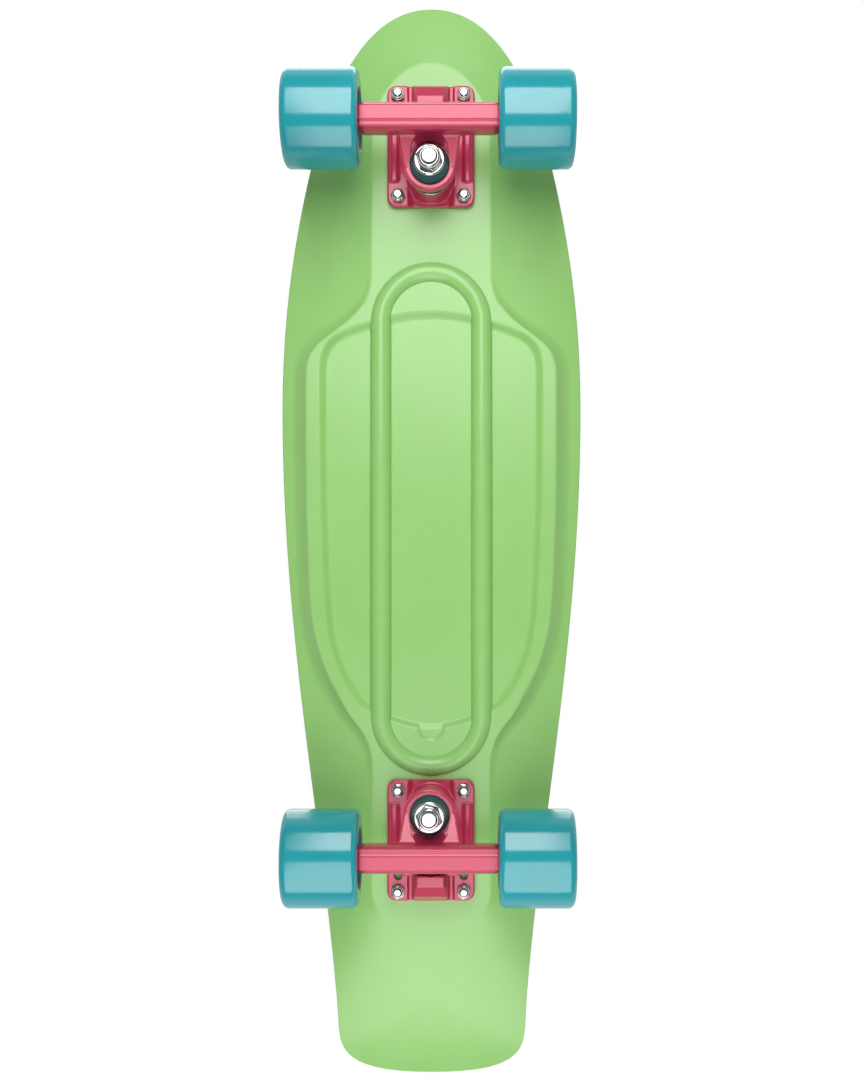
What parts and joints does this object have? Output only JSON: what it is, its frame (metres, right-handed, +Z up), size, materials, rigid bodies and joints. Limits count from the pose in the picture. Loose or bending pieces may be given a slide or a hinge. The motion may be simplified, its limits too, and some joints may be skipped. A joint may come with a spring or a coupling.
{
  "type": "skateboard",
  "caption": "Plastic cruiser skateboard: moulded deck with raised rim and kicked tail, sprung trucks that steer when it leans, and urethane wheels on bearings.",
  "frame": {"origin": "On the ground, under the middle of the deck", "axes": "+Z up, -Y toward the nose, +X across the board"},
  "size_m": [0.1906, 0.686, 0.109],
  "materials": {
    "deck_plastic": "light green moulded plastic, satin",
    "truck_paint": "crimson enamel on cast metal",
    "wheel_urethane": "glossy teal cast urethane",
    "bushing_urethane": "dark teal urethane, satin",
    "plated_steel": "bright zinc or nickel plate",
    "bearing_steel": "dark shielded bearing",
    "bolt_paint": "light blue paint on steel",
    "pivot_plastic": "black plastic cup"
  },
  "bodies": {
    "board": {"deck": "deck_plastic", "front_baseplate": "truck_paint", "front_kingpin": "plated_steel", "front_kingpin_nut": "plated_steel", "front_board_washer": "plated_steel", "front_road_washer": "plated_steel", "front_board_bushing": "bushing_urethane", "front_road_bushing": "bushing_urethane", "front_pivot_cup": "pivot_plastic", "front_deck_bolt_1": "bolt_paint", "front_deck_nut_1": "plated_steel", "front_deck_bolt_2": "bolt_paint", "front_deck_nut_2": "plated_steel", "front_deck_bolt_3": "bolt_paint", "front_deck_nut_3": "plated_steel", "front_deck_bolt_4": "bolt_paint", "front_deck_nut_4": "plated_steel", "rear_baseplate": "truck_paint", "rear_kingpin": "plated_steel", "rear_kingpin_nut": "plated_steel", "rear_board_washer": "plated_steel", "rear_road_washer": "plated_steel", "rear_board_bushing": "bushing_urethane", "rear_road_bushing": "bushing_urethane", "rear_pivot_cup": "pivot_plastic", "rear_deck_bolt_1": "bolt_paint", "rear_deck_nut_1": "plated_steel", "rear_deck_bolt_2": "bolt_paint", "rear_deck_nut_2": "plated_steel", "rear_deck_bolt_3": "bolt_paint", "rear_deck_nut_3": "plated_steel", "rear_deck_bolt_4": "bolt_paint", "rear_deck_nut_4": "plated_steel"},
    "front_left_wheel_set": {"front_left_wheel": "wheel_urethane", "front_left_outer_bearing": "bearing_steel", "front_left_inner_bearing": "bearing_steel"},
    "front_right_wheel_set": {"front_right_wheel": "wheel_urethane", "front_right_outer_bearing": "bearing_steel", "front_right_inner_bearing": "bearing_steel"},
    "front_truck": {"front_hanger": "truck_paint", "front_axle": "plated_steel", "front_left_speed_washer": "plated_steel", "front_left_axle_nut": "plated_steel", "front_right_speed_washer": "plated_steel", "front_right_axle_nut": "plated_steel"},
    "rear_left_wheel_set": {"rear_left_wheel": "wheel_urethane", "rear_left_outer_bearing": "bearing_steel", "rear_left_inner_bearing": "bearing_steel"},
    "rear_right_wheel_set": {"rear_right_wheel": "wheel_urethane", "rear_right_outer_bearing": "bearing_steel", "rear_right_inner_bearing": "bearing_steel"},
    "rear_truck": {"rear_hanger": "truck_paint", "rear_axle": "plated_steel", "rear_left_speed_washer": "plated_steel", "rear_left_axle_nut": "plated_steel", "rear_right_speed_washer": "plated_steel", "rear_right_axle_nut": "plated_steel"}
  },
  "joints": [
    {"name": "front_steer", "type": "hinge", "parent": "board", "child": "front_truck", "pos_m": [0, -0.23, 0.044], "axis": [0, 0.9106, -0.4133], "range_deg": [-12, 12], "stiffness_Nm_per_rad": 45, "deforming": ["front_board_bushing", "front_road_bushing"]},
    {"name": "front_left_wheel_spin", "type": "hinge", "parent": "front_truck", "child": "front_left_wheel_set", "pos_m": [-0.0643, -0.254, 0.0295], "axis": [1, 0, 0], "continuous": true},
    {"name": "front_right_wheel_spin", "type": "hinge", "parent": "front_truck", "child": "front_right_wheel_set", "pos_m": [0.0643, -0.254, 0.0295], "axis": [1, 0, 0], "continuous": true},
    {"name": "rear_steer", "type": "hinge", "parent": "board", "child": "rear_truck", "pos_m": [0, 0.1655, 0.044], "axis": [0, -0.9106, -0.4133], "range_deg": [-12, 12], "stiffness_Nm_per_rad": 45, "deforming": ["rear_board_bushing", "rear_road_bushing"]},
    {"name": "rear_left_wheel_spin", "type": "hinge", "parent": "rear_truck", "child": "rear_left_wheel_set", "pos_m": [-0.0643, 0.1895, 0.0295], "axis": [1, 0, 0], "continuous": true},
    {"name": "rear_right_wheel_spin", "type": "hinge", "parent": "rear_truck", "child": "rear_right_wheel_set", "pos_m": [0.0643, 0.1895, 0.0295], "axis": [1, 0, 0], "continuous": true}
  ]
}
